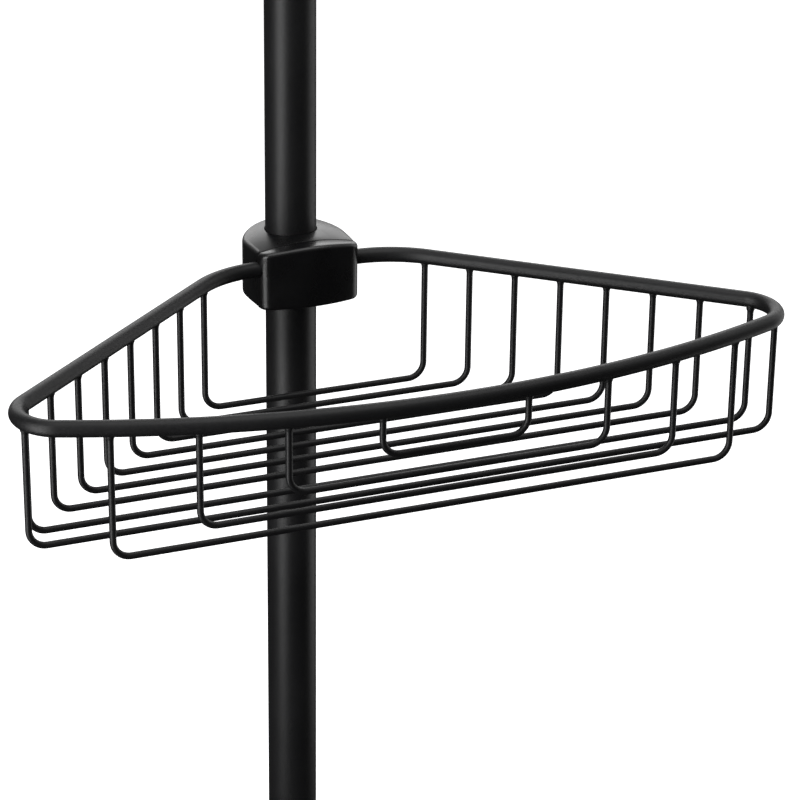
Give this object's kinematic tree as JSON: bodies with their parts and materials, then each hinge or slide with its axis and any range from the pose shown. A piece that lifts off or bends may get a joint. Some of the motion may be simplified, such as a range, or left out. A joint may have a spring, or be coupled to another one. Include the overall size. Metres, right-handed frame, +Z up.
{
  "type": "tension-pole corner shower caddy",
  "caption": "Floor-to-ceiling tension pole with open wire corner baskets held by clamp housings, for shower bottles and soap.",
  "frame": {"origin": "middle of the floor pad's underside, on the pole's axis", "axes": "+Z up the pole; -Y out of the bathroom's corner, towards the user; +X to the right of someone who faces +Y"},
  "size_m": [0.3692, 0.2329, 1.2876],
  "materials": {
    "powder_coat": "satin black powder coat on steel",
    "satin_plastic": "black moulded plastic, between satin and gloss",
    "grey_plastic": "dark grey moulded plastic, matt",
    "rubber": "black rubber, matt",
    "zinc_steel": "zinc-plated steel"
  },
  "bodies": {
    "pole": {"floor_pad": "rubber", "floor_foot": "satin_plastic", "lower_tube": "powder_coat", "upper_tube": "powder_coat", "tube_joiner": "zinc_steel"},
    "sliding_tube": {"sliding_tube": "powder_coat", "plunger_bush": "grey_plastic", "spring_seat": "grey_plastic", "ceiling_spring": "zinc_steel"},
    "lock_collar": {"lock_collar": "satin_plastic"},
    "ceiling_end": {"ceiling_foot": "satin_plastic", "ceiling_pad": "rubber"},
    "lower_clamp_collar": {"lower_collar_left": "grey_plastic", "lower_collar_right": "grey_plastic"},
    "lower_basket": {"lower_rim": "powder_coat", "lower_wire_01": "powder_coat", "lower_wire_02": "powder_coat", "lower_wire_03": "powder_coat", "lower_wire_04": "powder_coat", "lower_wire_05": "powder_coat", "lower_wire_06": "powder_coat", "lower_wire_07": "powder_coat", "lower_wire_08": "powder_coat", "lower_wire_09": "powder_coat", "lower_wire_10": "powder_coat", "lower_wire_11": "powder_coat", "lower_wire_12": "powder_coat", "lower_wire_13": "powder_coat", "lower_rear_shell": "satin_plastic", "lower_front_cover": "satin_plastic", "lower_screw_left": "zinc_steel", "lower_screw_right": "zinc_steel"},
    "upper_clamp_collar": {"upper_collar_left": "grey_plastic", "upper_collar_right": "grey_plastic"},
    "upper_basket": {"upper_rim": "powder_coat", "upper_wire_01": "powder_coat", "upper_wire_02": "powder_coat", "upper_wire_03": "powder_coat", "upper_wire_04": "powder_coat", "upper_wire_05": "powder_coat", "upper_wire_06": "powder_coat", "upper_wire_07": "powder_coat", "upper_wire_08": "powder_coat", "upper_wire_09": "powder_coat", "upper_wire_10": "powder_coat", "upper_wire_11": "powder_coat", "upper_wire_12": "powder_coat", "upper_wire_13": "powder_coat", "upper_rear_shell": "satin_plastic", "upper_front_cover": "satin_plastic", "upper_screw_left": "zinc_steel", "upper_screw_right": "zinc_steel"}
  },
  "joints": [
    {"name": "tube_slide", "type": "slide", "parent": "pole", "child": "sliding_tube", "axis": [0, 0, 1], "range_m": [0, 0.41]},
    {"name": "lock_turn", "type": "hinge", "parent": "pole", "child": "lock_collar", "pos_m": [0, 0, 1.2], "axis": [0, 0, 1], "range_deg": [0, 180]},
    {"name": "ceiling_press", "type": "slide", "parent": "sliding_tube", "child": "ceiling_end", "axis": [0, 0, 1], "range_m": [-0.019, 0], "stiffness_N_per_m": 8600, "springref_m": 0.003, "deforming": ["ceiling_spring"]},
    {"name": "lower_clamp_slide", "type": "slide", "parent": "pole", "child": "lower_clamp_collar", "axis": [0, 0, 1], "range_m": [-0.4, 0.19]},
    {"name": "lower_basket_swivel", "type": "hinge", "parent": "lower_clamp_collar", "child": "lower_basket", "pos_m": [0, 0, 0.48], "axis": [0, 0, 1], "continuous": true},
    {"name": "upper_clamp_slide", "type": "slide", "parent": "pole", "child": "upper_clamp_collar", "axis": [0, 0, 1], "range_m": [-0.2, 0.2]},
    {"name": "upper_basket_swivel", "type": "hinge", "parent": "upper_clamp_collar", "child": "upper_basket", "pos_m": [0, 0, 0.96], "axis": [0, 0, 1], "continuous": true}
  ]
}
